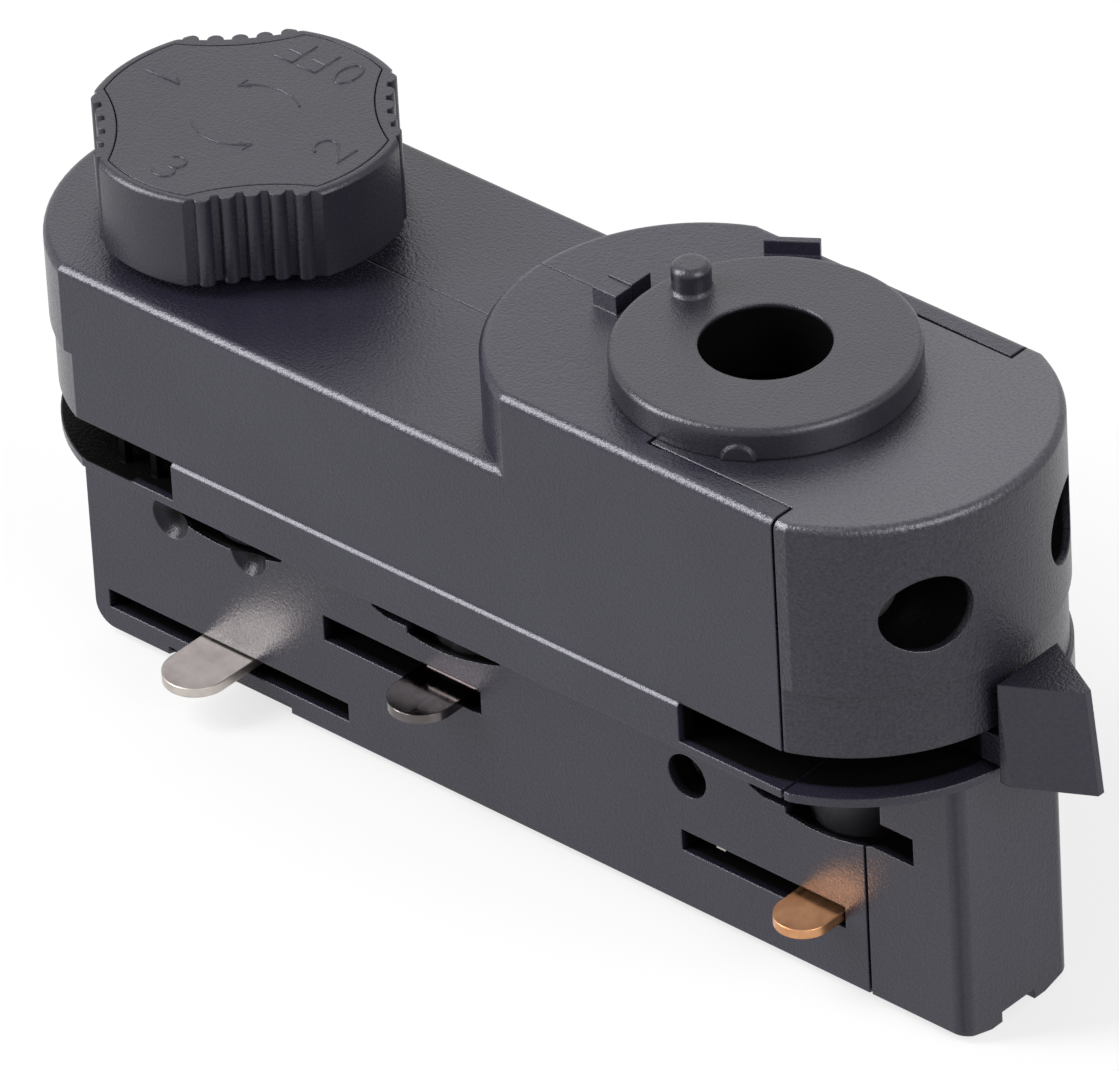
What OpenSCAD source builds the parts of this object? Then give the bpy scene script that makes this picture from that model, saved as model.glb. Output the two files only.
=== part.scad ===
// Track light adapter for a three-circuit lighting track.
// A two-part housing carries a circuit selector knob, a lock lever with three linked
// lock rotors, flat contact blades and a swivelling disc that holds the lamp.
// Frame: millimetres, origin on the lamp axis at the top of the disc, +Z up,
// +X towards the lever end, contact blades towards -Y.

/* [Housing] */
// Width of the upper housing across its flat sides
body_w = 36; // [34:0.5:40]
// How much the radius of the round ends exceeds half the width
end_bulge = 1.5; // [1:0.1:3]
// How much larger the radius of the selector end is
left_bulge = 0.35; // [0:0.05:0.6]
// Distance from the selector axis to the lever axis
axis_pitch = 75; // [72:0.5:85]
// Distance from the lamp axis to the lever axis
lever_x = 10.3; // [9.5:0.1:12]
// Distance from the lamp axis back to the centre of the round step wall
step_back = 9.3; // [7:0.1:11]
// Distance from the lamp axis to the seam of the end cap
cap_x = 16.1; // [15:0.1:17.5]
// Height of the upper housing at the lamp end
high_h = 25.5; // [24:0.1:30]
// Height of the step from the selector end up to the lamp end
step_h = 8.7; // [7:0.1:10]
// Thickness of the side walls
wall = 1.8; // [1.4:0.1:2.4]
// Thickness of the top walls
top_t = 2.2; // [1.8:0.1:2.6]
// Radius of the rounded top edges
edge_r = 0.9; // [0.4:0.1:1.2]
// Place of the seam between the two shells, from the middle
split_y = 0.6; // [0:0.1:1]
// Width of the seam between the two shells
seam = 0.14; // [0.08:0.02:0.3]
// Depth of the relief round the lower part of both ends
relief_d = 0.4; // [0.2:0.1:0.8]
// Height of the relief round both ends
relief_h = 7.2; // [5:0.1:9]

/* [End cap] */
// Gap at the seam of the end cap and the end foot
cap_gap = 0.35; // [0.2:0.05:0.5]
// Width of the tongue on top of the end cap
tongue_w = 30.4; // [28:0.1:31]
// How far the tongue reaches past the lamp axis
tongue_back = 0.7; // [0.2:0.1:2]
// Gap along the near side of the tongue
tongue_gap = 0.13; // [0.08:0.01:0.3]
// Length of the notch at the tongue's near corner
tongue_notch = 1.8; // [1:0.1:3]
// Radius of the screw holes in the round end
cap_hole_r = 4; // [3.4:0.1:4.4]
// Distance of the screw holes from the middle
cap_hole_y = 9.4; // [8:0.1:10.5]
// Depth of the screw holes' axis below the high top
cap_hole_drop = 10.2; // [9.5:0.1:12]
// Wall round the screw holes
cap_hole_wall = 1.5; // [1:0.1:2]
// Thickness of the cap under the screw heads
cap_seat_t = 2.4; // [1.8:0.1:4]
// Radius of the cap screws' heads
cap_head_r = 3; // [2.4:0.1:3.2]
// Thickness of the cap screws' heads
cap_head_t = 2.2; // [1.6:0.1:2.6]
// Radius of the cap screws' shanks
cap_screw_r = 1.45; // [1.2:0.05:1.8]
// Length of the cap screws' thread behind the seam
cap_screw_l = 8; // [6:0.5:10]

/* [Band and flange] */
// Height of the band between the upper housing and the flange
band_h = 4.2; // [4:0.1:5]
// How far the band and the flange stand proud of the housing's flat sides
band_proud = 0.3; // [0.1:0.05:0.4]
// Thickness of the flange that lies on the track
flange_t = 0.9; // [0.8:0.1:1.5]
// Distance from the lever axis back to the end of the lever gap
lever_gap_back = 6.6; // [5.5:0.1:9]
// Distance from the selector axis to the end of the gap round the selector end
left_gap_ahead = 5; // [3:0.1:8]
// Distance from the selector axis back to the first rib in that gap
gap_rib_back = 3.2; // [1:0.1:4]
// Distance between the two ribs in that gap
gap_rib_pitch = 4.1; // [3:0.1:5]
// Width of the ribs in that gap
gap_rib_w = 0.8; // [0.6:0.1:1.2]

/* [Track body] */
// Width of the body that goes into the track
lower_w = 15; // [14:0.1:17]
// Height of the body's sides that go into the track
lower_h = 28.3; // [28:0.1:32]
// Wall between the rotor bores and the sides
lower_wall = 1.6; // [1.4:0.1:2]
// Distance from the selector axis back to the end of the body
lower_back = 17.5; // [16.2:0.1:18]
// Distance from the lever axis to the end of the foot
foot_ahead = 17.5; // [15:0.1:19]
// Thickness of the floor under the rotors
floor_t = 1.8; // [1.5:0.1:2.1]
// Radius of the lower corner at the selector end
corner_r = 2.4; // [1:0.1:3]
// Radius of the upright edges of the end foot
foot_edge_r = 1.4; // [0.5:0.1:2]
// Width of the keel under the body
keel_w = 7.6; // [6.6:0.1:9]
// Height of the keel under the body
keel_h = 1.05; // [0.6:0.05:1.5]
// Width of the channel in the foot's keel
foot_slot_w = 4.6; // [3:0.1:5.4]
// Height of the channel in the foot's keel
foot_slot_h = 1.1; // [0.6:0.1:1.6]
// Length of the window in the end foot
window_l = 5.8; // [4:0.1:8]
// Height of the window in the end foot
window_h = 3.1; // [2:0.1:4]
// Depth of the window's lower edge below the flange
window_drop = 11.2; // [9:0.1:13]
// Length of the relief in the lower edge under the phase blade
base_relief_l = 16; // [10:0.5:20]
// Height of the relief under the phase blade
base_relief_h = 0.9; // [0.5:0.1:1.4]
// Depth of the relief under the phase blade
base_relief_d = 0.8; // [0.4:0.1:1.2]
// Distance from the lamp axis back to the shell screw
screw_back = 5.6; // [4:0.1:7]
// Height of the shell screw above the sides' lower edges
screw_up = 15.1; // [14:0.1:17]
// Radius of the shell screw's hole
screw_hole_r = 2.35; // [2:0.05:2.6]
// Depth of the shell screw's hole
screw_hole_d = 4.4; // [3:0.1:5]
// Thickness of the shell screw's head
screw_head_t = 1.6; // [1.2:0.1:2.2]
// Radius of the shell screw's shank
screw_r = 1.3; // [1:0.05:1.5]
// Wall left behind the shell screw's tip
screw_wall = 1.5; // [1:0.1:2]

/* [Rotors] */
// Distance from the selector axis to the axis of the middle rotor
mid_pitch = 27.7; // [26.5:0.1:32]
// Running gap round the moving parts
run_gap = 0.3; // [0.2:0.05:0.4]
// Radial clearance of shafts and pivots in their holes
fit_gap = 0.06; // [0.04:0.01:0.1]
// How far the lock wings reach past the sides of the track body
wing_out = 3.1; // [2:0.1:4]
// Width of the lock wings
wing_w = 8.4; // [6:0.1:10]
// Height of the lock wings
wing_h = 4.5; // [3:0.1:6]
// Depth of the lock wings below the flange, which takes the lip of the track
wing_drop = 2.2; // [1.5:0.1:3]
// Clearance round the tips of the wings in their pockets
pocket_gap = 0.4; // [0.3:0.05:0.6]
// Depth of the wing pockets below the flange
pocket_h = 10.8; // [9:0.1:11.5]
// Depth of the dished floor of the pocket at the selector axis
dish_left = 2; // [1.5:0.1:3]
// Depth of the dished floor of the pockets at the middle rotor and the lever axis
dish_right = 2.3; // [1.5:0.1:3]
// Distance from those two axes back to the ends of the sills in their pockets
sill_back = 3.7; // [3:0.1:5]
// Depth of these sills below their pockets
sill_drop = 0.6; // [0.3:0.1:1]
// Radius of the two scoops under the pocket at the selector axis
scoop_r = 2.3; // [1.8:0.1:2.6]
// Depth of the scoops in the near face
scoop_d = 1; // [0.6:0.1:1.4]
// Depth of the scoops' centres below the pocket
scoop_drop = 1; // [0.6:0.1:1.4]
// Distance from the selector axis back to the first scoop
scoop_back = 6.5; // [6:0.1:7.5]
// Distance from the selector axis to the second scoop
scoop_ahead = 3.6; // [2.5:0.1:5]
// Distance of the crank pins from the rotors' hubs
crank_out = 3; // [2.7:0.1:3.2]
// Radius of the crank pins
crank_r = 1.4; // [1.1:0.1:1.5]
// Rim of the drums round the crank pins
drum_rim = 0.4; // [0.2:0.1:0.8]
// Radius of the rotors' lower pivots
pivot_r = 2; // [1.5:0.1:2.5]
// Length of the rotors' lower pivots
pivot_h = 0.9; // [0.6:0.1:1.1]
// Radius of the contact stems in the rotors
stem_r = 1.6; // [1.2:0.1:2]
// Depth of the sleeve round the selector shaft below the pockets
sleeve_drop = 2; // [1:0.1:3]
// Width of the link bar
link_w = 4; // [3:0.1:4.2]
// Radius of the link bar's eyes
link_eye_r = 3; // [2.8:0.1:3.4]
// Thickness of the link bar
link_t = 2.2; // [1.8:0.1:2.6]

/* [Blades] */
// Thickness of the contact blades
blade_t = 1; // [0.8:0.1:1.2]
// Width of the phase blade
phase_w = 6.8; // [5:0.1:7]
// Reach of the phase blade from the selector axis
phase_reach = 15.3; // [12:0.1:15.4]
// Height of the phase slot's lower edge above the sides' lower edges
phase_slot_up = 2.3; // [2.2:0.1:2.6]
// Height of the phase slot
phase_slot_h = 2.1; // [1.8:0.1:2.4]
// Width of the neutral blade
neutral_w = 6.8; // [5:0.1:7]
// Reach of the neutral blade from the middle rotor's axis
neutral_reach = 13.2; // [11:0.1:13.6]
// Height of the neutral slot's lower edge above the sides' lower edges
neutral_slot_up = 10.7; // [10:0.1:10.7]
// Height of the neutral slot
neutral_slot_h = 2.9; // [1.9:0.1:2.9]
// Length of the neutral slot behind the rotor axis
neutral_slot_back = 14.7; // [14:0.1:15.5]
// Length of the neutral slot past the edge of its blade
neutral_slot_ahead = 2; // [1:0.1:2.4]
// Thickness of the leaf above the neutral blade
leaf_t = 0.35; // [0.25:0.05:0.5]
// How far the leaf stays behind the near face
leaf_in = 0.25; // [0.1:0.05:0.5]
// Width of the earth blade
earth_w = 5.8; // [4:0.1:6]
// Reach of the earth blade from the lever axis
earth_reach = 12.6; // [11:0.1:14]
// Height of the earth slot's lower edge above the sides' lower edges
earth_slot_up = 6.2; // [5.5:0.1:8]
// Height of the earth slot
earth_slot_h = 2.4; // [1.8:0.1:2.8]
// Length of the earth slot behind the lever axis
earth_slot_back = 17; // [15:0.1:18]

/* [Selector] */
// Radius of the knob
knob_r = 15.5; // [14:0.1:17]
// Height of the knob
knob_h = 9.5; // [8.5:0.1:10]
// How far the knob stands above the high top
knob_rise = 2.2; // [0.5:0.1:3]
// Radius of the knob's rounded upper edge
knob_edge_r = 0.6; // [0.2:0.1:0.8]
// Half angle of each grip in the knob
grip_a = 25; // [20:1:30]
// Depth of the grips in the knob
grip_d = 2.3; // [2:0.1:3]
// Number of ridges in each grip
grip_ridges = 5; // [3:2:7]
// Distance between the ridges
ridge_pitch = 2.34; // [1.8:0.02:2.4]
// Radius of the ridges
ridge_r = 0.8; // [0.5:0.05:0.9]
// Rim of the knob round its inlaid face
face_rim = 0.95; // [0.8:0.05:2]
// Depth of the lobes of the inlaid face
face_d = 2.35; // [1.5:0.05:3]
// Thickness of the inlaid face
face_t = 1.2; // [0.8:0.1:1.6]
// Gap round the inlaid face
face_gap = 0.14; // [0.1:0.02:0.25]
// Thickness of the knob's web under its face
knob_web = 2.2; // [2:0.1:3]
// Wall of the knob inside its grips and round its socket
knob_wall = 2; // [1.6:0.1:2.4]
// Radius of the knob screw's head
knob_head_r = 2.3; // [1.8:0.1:2.6]
// Thickness of the knob screw's head
knob_head_t = 1; // [0.7:0.1:1.2]
// Radius of the knob screw's shank
knob_screw_r = 1.2; // [0.9:0.1:1.4]
// Length of the knob screw
knob_screw_l = 7; // [6:0.5:9]
// Radius of the selector shaft
shaft_r = 3.4; // [3:0.1:3.6]
// Radius of the shaft's boss in the top of the housing
boss_r = 5; // [4.6:0.1:6]
// How far the shaft's collar stands out of its boss
collar_out = 2; // [1:0.1:2.5]
// Thickness of the shaft's collar
collar_t = 1.4; // [1:0.1:2]
// Radius of the shaft's hub that holds the phase blade
phase_hub_r = 5; // [4.4:0.1:5.2]
// Height of that hub above the blade
phase_hub_up = 1.6; // [1:0.1:2]
// Radius over the corners of the detent cam
cam_r = 6; // [5.6:0.1:7]
// Width of the detent cam over its flats
cam_w = 10.8; // [10:0.1:11]
// Height of the detent cam
cam_h = 4; // [3:0.1:5]
// How far the detent spring reaches past the cam at each end
spring_out = 4.5; // [3.5:0.1:5]
// Width of the posts behind the detent spring
spring_post_w = 2.4; // [1.6:0.1:3]
// Wall of the slip ring
ring_wall = 1.5; // [1:0.1:2]
// Height of the slip ring
ring_h = 2.4; // [2:0.1:3]
// Thickness of the detent spring and the contact strips
strip_t = 0.5; // [0.4:0.05:0.8]
// Width of the contact strips
strip_w = 4; // [3:0.1:5]

/* [Lamp disc] */
// Radius of the lamp disc
disc_r = 14.5; // [13:0.1:15.5]
// Height of the lamp disc above the housing
disc_h = 3.2; // [2.5:0.1:4]
// Radius of the disc's rounded edge
disc_edge_r = 0.6; // [0.3:0.1:1]
// Radius of the bore for the lamp's cable tube
bore_r = 6.25; // [5:0.05:7]
// Radius of the disc's neck in the housing
neck_r = 10; // [9:0.1:11]
// Height of the neck below its clip
neck_lip = 0.8; // [0.6:0.1:1.2]
// Radius of the index pin
index_r = 1.9; // [1.5:0.1:2.2]
// Height of the index pin
index_h = 2.8; // [2.5:0.1:4.5]
// Radius of the index pin's rounded end
index_edge_r = 0.7; // [0.3:0.1:1]
// Size of the bevelled foot round the index pin
index_foot = 0.3; // [0.2:0.05:0.5]
// Distance of the index pin from the disc's edge
index_in = 3; // [2.8:0.1:4]
// Direction of the index pin from +X
index_a = 167; // [160:1:190]
// Radius of the gate nib on the disc's side
nib_r = 1.6; // [1:0.1:2]
// How far the gate nib stands out of the disc
nib_out = 0.3; // [0.2:0.05:0.6]
// Direction of the gate nib from +X
nib_a = -59; // [-70:1:-50]
// Thickness of the retaining clip
clip_t = 1.2; // [0.8:0.1:1.6]
// How far the clip stands out of the neck
clip_out = 2.2; // [1.5:0.1:3]
// Depth of the clip's groove in the neck
groove_d = 1.2; // [0.8:0.1:1.6]
// Opening of the clip
clip_open = 8; // [5:0.5:10]
// Distance of the middle stop block from the disc's edge
stop_gap = 2.4; // [1.5:0.1:3]
// Length of the middle stop block
stop_d = 2.9; // [1.5:0.1:3]
// Height of the middle stop block's near half
stop_h = 2.05; // [1:0.05:2.5]
// How much higher its far half is
stop_lift = 0.15; // [0.1:0.05:0.6]
// Reach of the near half from the seam
stop_near = 2.2; // [1.5:0.1:3]
// Reach of the far half from the seam
stop_far = 2.6; // [1.5:0.05:3]
// Gap between the two halves of the middle stop block
stop_seam = 0.04; // [0.02:0.01:0.1]
// Distance of the far stop block from the disc's edge
far_stop_gap = 4.55; // [3.5:0.05:5]
// Width of the far stop block
far_stop_w = 5.3; // [4:0.1:7]
// Height of the far stop block
far_stop_h = 1.4; // [1:0.1:2.5]
// Thickness of the far stop block
far_stop_d = 0.75; // [0.5:0.05:1]
// Direction of the far stop block from +X
far_stop_a = 124; // [115:1:130]
// Lean of the far stop block's face
far_stop_lean = 8; // [4:1:20]

/* [Lever] */
// Gap between the round end and the tab's inner face
tab_gap = 0.6; // [0.4:0.1:1]
// Width of the tab
tab_w = 8.5; // [6:0.1:12]
// Length of the tab
tab_l = 7.2; // [5:0.1:12]
// Height of the tab
tab_h = 10.9; // [8:0.1:13]
// Outward flare of the tab's tip from top to bottom
tab_flare = 1.2; // [0.4:0.1:2]
// Width of the tab's tip
tab_tip = 0.8; // [0.4:0.1:2]
// Height of the tab's foot above the underside of the flange
tab_up = 0.1; // [0:0.1:0.6]
// Width of the lever's arm
arm_w = 7; // [5:0.1:8]

/* [Terminals] */
// Length of the terminal block
block_l = 13; // [12:0.1:14]
// Width of the terminal block
block_w = 19; // [17:0.1:20]
// Height of the terminal block
block_h = 7.5; // [6:0.1:8]
// Distance of the terminal block below the disc's neck
block_gap = 0.9; // [0.5:0.1:1.5]
// How far the terminal block reaches under the neck
block_under = 1; // [0.5:0.1:2]
// Distance between the terminals
terminal_pitch = 6; // [5:0.1:6.2]
// Radius of the terminal screws
terminal_r = 1.6; // [1.2:0.1:2]
// Radius of the holes for the lamp's wires
wire_r = 1.4; // [1:0.1:1.5]
// Wall at the bottom and the back of the terminals
terminal_wall = 2; // [1.5:0.1:2.2]
// Width of the shelves under the terminal block
shelf_in = 1.5; // [1:0.1:2.5]
// Thickness of the shelves under the terminal block
shelf_t = 2; // [1.5:0.1:3]

/* [Hidden] */
$fn = 96;

plastic = "#45454c";
dark_plastic = "#2b2b30";
silver = "#b9b3ad";
copper = "#b5774a";
steel = "#8d9094";

// A length that reaches past everything, for half spaces and through cuts
far = 200;
// How far a cut or a joined piece runs past a face
over = 1;
// How far inner blocks run into the walls
root = 0.5;
// Space behind a screw's tip
tip_gap = 0.5;
// Space over a sunk screw head
head_gap = 0.2;
// Length, width and depth of a screw's drive against its head's radius and thickness
drive_l = 1.44;
drive_w = 0.26;
drive_d = 0.5;
// Places of the axes and the ends along X
end_r = body_w / 2 + end_bulge;
left_r = end_r + left_bulge;
knob_x = lever_x - axis_pitch;
mid_x = knob_x + mid_pitch;
step_x = -step_back;
low_x0 = knob_x - lower_back;
low_x1 = lever_x + foot_ahead;
near_y = -lower_w / 2;
inner_y = body_w / 2 - wall;
// Levels along Z
top_z = -disc_h;
low_z = top_z - step_h;
upper_z = top_z - high_h;
flange_z = upper_z - band_h;
lower_z = flange_z - flange_t;
base_z = lower_z - lower_h;
keel_z = base_z - keel_h;
floor_z = base_z + floor_t;
ceiling_z = low_z - top_t;
pocket_z = lower_z - pocket_h;
cap_hole_z = top_z - cap_hole_drop;
// Rotors
bore_hub_r = lower_w / 2 - lower_wall;
hub_r = bore_hub_r - run_gap;
wing_r = lower_w / 2 + wing_out;
pocket_r = wing_r + pocket_gap;
pocket_half = sqrt(pow(pocket_r, 2) - pow(near_y, 2));
sill_t = lower_wall - run_gap;
wing_z1 = lower_z - wing_drop;
crank_at = hub_r + crank_out;
crank_a = 135;
drum_r = crank_at + crank_r + drum_rim;
drum_z0 = flange_z + run_gap;
drum_z1 = upper_z - 2 * run_gap;
link_z0 = drum_z1 + run_gap;
link_z1 = link_z0 + link_t;
// Share of the hub's width that the lever's drive flats leave
flat_share = 0.75;
// Blade undersides; the phase blade lies in the upper part of its slot
phase_lift = 0.8;
phase_z = base_z + phase_slot_up + (phase_slot_h - blade_t) * phase_lift;
neutral_z = base_z + neutral_slot_up + run_gap;
leaf_z = base_z + neutral_slot_up + neutral_slot_h - leaf_t - run_gap / 2;
leaf_x1 = neutral_w / 2 + neutral_slot_ahead - run_gap;
earth_z = base_z + earth_slot_up + (earth_slot_h - blade_t) / 2;
// Selector levels
knob_z1 = top_z + knob_rise;
knob_z0 = knob_z1 - knob_h;
web_z = knob_z1 - face_t - knob_web;
knob_head_z = knob_z1 - face_t - head_gap;
cam_z1 = ceiling_z - collar_t - 2 * run_gap;
cam_z0 = cam_z1 - cam_h;
ring_z1 = cam_z0 - run_gap;
ring_z0 = ring_z1 - ring_h;
ring_r = shaft_r + ring_wall;
spring_y = cam_r + run_gap;
spring_half = cam_r + spring_out;
// Disc neck under the top wall
clip_z1 = top_z - top_t - run_gap;
clip_z0 = clip_z1 - clip_t;
neck_z = clip_z0 - neck_lip;
// Terminals
block_z0 = neck_z - block_gap - block_h;
block_x1 = -neck_r + block_under;
block_x0 = block_x1 - block_l;
block_x = (block_x0 + block_x1) / 2;
terminal_y = [for (i = [-1:1]) i * terminal_pitch];
// Lever
tab_x = lever_x + end_r + tab_gap;

// Half of a section from the middle out to hw, with its upper edge rounded or bevelled by e
module half_profile(hw, z0, z1, e, bevel = false) {
    if (e == 0) {
        translate([0, z0]) square([hw, z1 - z0]);
    } else if (bevel) {
        polygon([[0, z0], [hw, z0], [hw, z1 - e], [hw - e, z1], [0, z1]]);
    } else {
        translate([0, z0]) square([hw, z1 - z0 - e]);
        translate([0, z0]) square([hw - e, z1 - z0]);
        translate([hw - e, z1 - e]) circle(e);
    }
}

// Distance from a round end's axis, within its flat sides, at which the round end takes over
function blend(r, hw, e) = 0.8 * sqrt(pow(r - e, 2) - pow(hw, 2));

// Flat-sided solid with round ends of radius r0 and r1 about two axes on the middle plane
module stadium(x0, x1, hw, r0, r1, z0, z1, e = 0, bevel = false) {
    intersection() {
        translate([x0 - r0, 0, 0]) rotate([90, 0, 90]) linear_extrude(x1 - x0 + r0 + r1) {
            half_profile(hw, z0, z1, e, bevel);
            mirror([1, 0]) half_profile(hw, z0, z1, e, bevel);
        }
        union() {
            translate([x0, 0, 0]) rotate_extrude() half_profile(r0, z0, z1, e, bevel);
            translate([x0 - blend(r0, hw, e), -far / 2, -far / 2]) cube([far, far, far]);
        }
        union() {
            translate([x1, 0, 0]) rotate_extrude() half_profile(r1, z0, z1, e, bevel);
            translate([x1 + blend(r1, hw, e) - far, -far / 2, -far / 2]) cube([far, far, far]);
        }
    }
}

// Box between two corners
module box(low, high) {
    translate(low) cube(high - low);
}

// Cylinder between two heights at a place along X
module post(x, r, z0, z1, y = 0) {
    translate([x, y, z0]) cylinder(h = z1 - z0, r = r);
}

// Cylinder along X
module x_post(r, x0, x1, y, z) {
    translate([x0, y, z]) rotate([0, 90, 0]) cylinder(h = x1 - x0, r = r);
}

// Cylinder along Y
module y_post(r, y0, y1, x, z) {
    translate([x, y1, z]) rotate([90, 0, 0]) cylinder(h = y1 - y0, r = r);
}

// Drive cut into a screw head of radius r and thickness t whose outer face is at the origin
module drive(r, t, cross = true) {
    for (a = cross ? [0, 90] : [0]) rotate(a)
        box([-drive_l * r / 2, -drive_w * r / 2, -drive_d * t], [drive_l * r / 2, drive_w * r / 2, over]);
}

// Outer form of the upper housing with its step
module upper_body() {
    stadium(knob_x, lever_x, body_w / 2, left_r, end_r, upper_z, low_z, edge_r);
    stadium(step_x, lever_x, body_w / 2, end_r, end_r, upper_z, top_z, edge_r);
}

// Space inside the upper housing and the band
module upper_cavity() {
    r = end_r - wall;
    stadium(knob_x, lever_x, inner_y, r, r, flange_z, ceiling_z);
    stadium(step_x, lever_x, inner_y, r, r, flange_z, top_z - top_t);
}

// Outer form of the band and the flange below it, proud of the flat sides only
module band_body() {
    stadium(knob_x, lever_x, body_w / 2 + band_proud, end_r, end_r, lower_z, upper_z, band_proud, true);
}

// Shallow relief round the lower part of a round end of radius r, which runs out on the flat sides
module end_relief(x, r, side) {
    intersection() {
        difference() {
            post(x, r + over, upper_z, upper_z + relief_h);
            post(x, r - relief_d, upper_z - over, upper_z + relief_h + over);
        }
        translate([side > 0 ? x : x - far, -far / 2, -far / 2]) cube([far, far, far]);
    }
}

// Section of the track body across its length, with the keel below its bevelled underside
module lower_section() {
    polygon([
        [-lower_w / 2, lower_z], [-lower_w / 2, base_z], [-keel_w / 2, keel_z],
        [keel_w / 2, keel_z], [lower_w / 2, base_z], [lower_w / 2, lower_z]
    ]);
}

// Outer form of the body that goes into the track
module lower_block() {
    intersection() {
        translate([low_x0, 0, 0]) rotate([90, 0, 90]) linear_extrude(low_x1 - low_x0) lower_section();
        translate([0, lower_w / 2, 0]) rotate([90, 0, 0]) linear_extrude(lower_w) {
            translate([low_x0 + corner_r, keel_z]) square([low_x1 - low_x0 - corner_r, lower_z - keel_z]);
            translate([low_x0, base_z + corner_r]) square([corner_r * 2, lower_h - corner_r]);
            translate([low_x0 + corner_r, base_z + corner_r]) circle(corner_r);
        }
        translate([0, 0, keel_z - over]) linear_extrude(lower_z - keel_z + 2 * over) {
            translate([low_x0, near_y]) square([low_x1 - low_x0 - foot_edge_r, lower_w]);
            translate([low_x0, near_y + foot_edge_r]) square([low_x1 - low_x0, lower_w - 2 * foot_edge_r]);
            for (s = [-1, 1])
                translate([low_x1 - foot_edge_r, s * (lower_w / 2 - foot_edge_r)]) circle(foot_edge_r);
        }
    }
}

// Bore for a rotor with a pocket for its wings that opens through both sides
module rotor_chamber(x, dish) {
    translate([x, 0, 0]) rotate_extrude() polygon([
        [0, floor_z], [bore_hub_r, floor_z], [bore_hub_r, pocket_z - dish],
        [pocket_r, pocket_z], [pocket_r, lower_z], [bore_hub_r, lower_z],
        [bore_hub_r, flange_z + over], [0, flange_z + over]
    ]);
    post(x, pivot_r + fit_gap, floor_z - pivot_h - run_gap, floor_z + over);
}

// Chambers of the three rotors
module rotor_chambers() {
    rotor_chamber(knob_x, dish_left);
    rotor_chamber(mid_x, dish_right);
    rotor_chamber(lever_x, dish_right);
}

// Round scoops in the near face under the pocket at the selector axis
module scoops() {
    r = (pow(scoop_r, 2) + pow(scoop_d, 2)) / (2 * scoop_d);
    for (x = [-scoop_back, scoop_ahead])
        translate([knob_x + x, near_y + scoop_d - r, pocket_z - scoop_drop]) sphere(r);
}

// Low walls across the pockets at the middle rotor and the lever axis, flush with the near face
module sills() {
    for (x = [mid_x, lever_x])
        box([x - pocket_half, near_y, pocket_z - dish_right],
            [x - sill_back, near_y + sill_t, pocket_z - sill_drop]);
}

// Slot that a blade swings through, from the near side in to the far side of the blade
module blade_slot(x, back, ahead, up, h, w) {
    box([x - back, -far / 2, base_z + up], [x + ahead, w / 2 + run_gap, base_z + up + h]);
}

// Slots of the three blades; the phase blade turns right round, so its slot goes through
module blade_slots() {
    phase_l = phase_reach + run_gap;
    box([knob_x - phase_l, -far / 2, base_z + phase_slot_up],
        [knob_x + phase_l, far / 2, base_z + phase_slot_up + phase_slot_h]);
    blade_slot(mid_x, neutral_slot_back, neutral_w / 2 + neutral_slot_ahead,
        neutral_slot_up, neutral_slot_h, neutral_w);
    blade_slot(lever_x, earth_slot_back, earth_w / 2 + run_gap, earth_slot_up, earth_slot_h, earth_w);
}

// Bores for the lamp disc's neck and the selector shaft's boss
module top_bores() {
    post(0, neck_r + fit_gap, top_z - top_t - over, top_z + over);
    post(knob_x, boss_r + fit_gap, ceiling_z - over, low_z + over);
}

// Both shells in one piece, before they are parted on the seam
module housing_blank() {
    difference() {
        union() {
            upper_body();
            band_body();
            lower_block();
        }
        upper_cavity();
        rotor_chambers();
        blade_slots();
        end_relief(knob_x, left_r, -1);
    }
}

// Half space of one shell: side -1 is near, 1 is far
module shell_side(side) {
    y = split_y + side * seam / 2;
    if (side < 0) {
        box([-far, -far, -far], [cap_x, y, far]);
    } else {
        box([-far, y, -far], [cap_x, far, far]);
    }
}

// Block in a shell that takes a screw of the end cap
module cap_screw_block(side) {
    x0 = cap_x - cap_screw_l - tip_gap - cap_hole_wall;
    mirror([0, side < 0 ? 1 : 0, 0])
        box([x0, cap_hole_y - cap_hole_r, cap_hole_z - cap_hole_r],
            [cap_x, inner_y + root, cap_hole_z + cap_hole_r]);
}

// Shelf in a shell under the terminal block
module terminal_shelf(side) {
    mirror([0, side < 0 ? 1 : 0, 0])
        box([block_x0 + shelf_in, block_w / 2 - shelf_in, block_z0 - shelf_t],
            [block_x1 - shelf_in, inner_y + root, block_z0]);
}

// Half of the block on the high top beside the disc that stops the lamp's turn
module stop_block(h, y0, y1) {
    x1 = -disc_r - stop_gap;
    box([x1 - stop_d, y0, top_z - edge_r], [x1, y1, top_z + h]);
}

// Second stop block, a leaning rib at the far edge
module far_stop() {
    intersection() {
        stadium(step_x, lever_x, body_w / 2, end_r, end_r, top_z - edge_r, top_z + far_stop_h);
        rotate(far_stop_a) translate([disc_r + far_stop_gap, 0, top_z]) rotate([0, far_stop_lean, 0])
            translate([0, -far_stop_w / 2, -far / 2]) cube([far_stop_d, far_stop_w, far]);
    }
}

// Posts that hold the ends of the detent spring
module spring_posts() {
    for (s = [-1, 1]) {
        x = knob_x + s * (spring_half - spring_post_w / 2);
        box([x - spring_post_w / 2, spring_y + strip_t + run_gap, cam_z0 - over],
            [x + spring_post_w / 2, inner_y + root, ceiling_z + root]);
    }
}

// Upright ribs behind the gap at the selector end
module gap_ribs() {
    for (k = [0:1]) {
        x = knob_x - gap_rib_back + k * gap_rib_pitch;
        box([x - gap_rib_w / 2, -inner_y - root / 2, flange_z - root],
            [x + gap_rib_w / 2, -inner_y + gap_rib_w, upper_z + band_h]);
    }
}

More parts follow.
